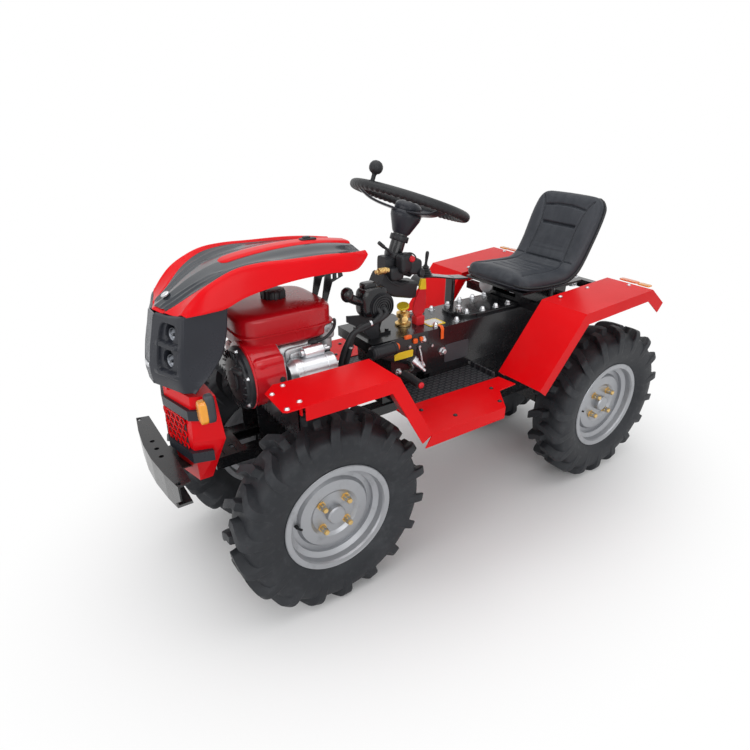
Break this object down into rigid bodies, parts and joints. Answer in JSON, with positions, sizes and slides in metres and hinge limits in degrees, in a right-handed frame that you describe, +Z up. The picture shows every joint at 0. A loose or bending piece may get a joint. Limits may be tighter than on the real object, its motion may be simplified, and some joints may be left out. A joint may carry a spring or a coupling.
{
  "type": "compact tractor",
  "caption": "Small open-frame four-wheel tractor with lugged tyres, hinged hood over a single-cylinder engine, folded fenders, footboards and a pan seat.",
  "frame": {"origin": "on the ground, under the middle of the machine's overall length and width", "axes": "+X forward, +Y to the driver's left, +Z up; the wheels turn about Y"},
  "size_m": [1.892, 0.754, 1.1866],
  "materials": {
    "tyre": "matte rubber",
    "rim": "satin silver paint",
    "red_sheet": "gloss red powder coat",
    "red_shell": "gloss red shell",
    "dark_shell": "dark grey gloss shell",
    "dark_plastic": "dark grey moulded plastic",
    "black_frame": "black powder coat",
    "red_engine": "gloss red enamel",
    "bright_metal": "zinc-plated steel",
    "cover_black": "black moulded cover",
    "exhaust": "heat-resistant black paint",
    "lamp_glass": "dark lens",
    "mesh": "grey wire mesh",
    "amber": "amber lens",
    "seat_vinyl": "black vinyl",
    "grip": "black soft-touch grip",
    "checker_plate": "black checker plate"
  },
  "bodies": {
    "chassis": {"chassis_frame": "black_frame", "front_bumper": "black_frame", "front_axle": "black_frame", "rear_axle": "black_frame", "main_case": "black_frame", "control_case": "black_frame", "engine": "red_engine", "fan_cover": "cover_black", "fuel_tank": "red_engine", "starter_motor": "bright_metal", "muffler": "exhaust", "air_cleaner": "cover_black", "lower_grille": "red_shell", "grille_bars": "dark_plastic", "turn_lamps": "amber", "fender_front_left": "red_sheet", "fender_front_right": "red_sheet", "fender_rear_left": "red_sheet", "fender_rear_right": "red_sheet", "footboard_left": "red_sheet", "footboard_right": "red_sheet", "floor_plates": "checker_plate", "seat": "seat_vinyl", "seat_frame": "black_frame", "steering_column": "black_frame", "dash_box": "black_frame", "levers": "black_frame", "brake_pedal": "black_frame"},
    "knuckle_left": {"knuckle_left": "black_frame"},
    "knuckle_right": {"knuckle_right": "black_frame"},
    "tie_rod": {"tie_rod": "bright_metal"},
    "wheel_front_left": {"tyre_front_left": "tyre", "rim_front_left": "rim"},
    "wheel_front_right": {"tyre_front_right": "tyre", "rim_front_right": "rim"},
    "wheel_rear_left": {"tyre_rear_left": "tyre", "rim_rear_left": "rim"},
    "wheel_rear_right": {"tyre_rear_right": "tyre", "rim_rear_right": "rim"},
    "hood": {"hood": "red_shell", "hood_panel": "dark_shell", "nose_bezel": "dark_plastic", "headlamps": "lamp_glass", "nose_grille": "mesh"},
    "steering_wheel": {"steering_wheel": "grip"}
  },
  "joints": [
    {"name": "steering_wheel_turn", "type": "hinge", "parent": "chassis", "child": "steering_wheel", "pos_m": [0.086, 0, 1.0685], "axis": [-0.342, 0, 0.9397], "range_deg": [-240, 240]},
    {"name": "steer_left", "type": "hinge", "parent": "chassis", "child": "knuckle_left", "pos_m": [0.538, 0.19, 0.301], "axis": [0, 0, 1], "range_deg": [-20, 20]},
    {"name": "steer_right", "type": "hinge", "parent": "chassis", "child": "knuckle_right", "pos_m": [0.538, -0.19, 0.301], "axis": [0, 0, 1], "range_deg": [-20, 20]},
    {"name": "tie_rod_pivot", "type": "hinge", "parent": "knuckle_left", "child": "tie_rod", "pos_m": [0.448, 0.19, 0.27], "axis": [0, 0, 1], "range_deg": [-20, 20]},
    {"name": "wheel_front_left_spin", "type": "hinge", "parent": "knuckle_left", "child": "wheel_front_left", "pos_m": [0.538, 0.251, 0.301], "axis": [0, 1, 0], "continuous": true},
    {"name": "wheel_front_right_spin", "type": "hinge", "parent": "knuckle_right", "child": "wheel_front_right", "pos_m": [0.538, -0.251, 0.301], "axis": [0, 1, 0], "continuous": true},
    {"name": "wheel_rear_left_spin", "type": "hinge", "parent": "chassis", "child": "wheel_rear_left", "pos_m": [-0.645, 0.251, 0.301], "axis": [0, 1, 0], "continuous": true},
    {"name": "wheel_rear_right_spin", "type": "hinge", "parent": "chassis", "child": "wheel_rear_right", "pos_m": [-0.645, -0.251, 0.301], "axis": [0, 1, 0], "continuous": true},
    {"name": "hood_tilt", "type": "hinge", "parent": "chassis", "child": "hood", "pos_m": [0.868, 0, 0.702], "axis": [0, 1, 0], "range_deg": [0, 65]}
  ],
  "couplings": [
    {"joint": "steer_left", "follows": "steering_wheel_turn", "ratio": 0.083333},
    {"joint": "steer_right", "follows": "steering_wheel_turn", "ratio": 0.083333},
    {"joint": "tie_rod_pivot", "follows": "steering_wheel_turn", "ratio": -0.083333}
  ]
}
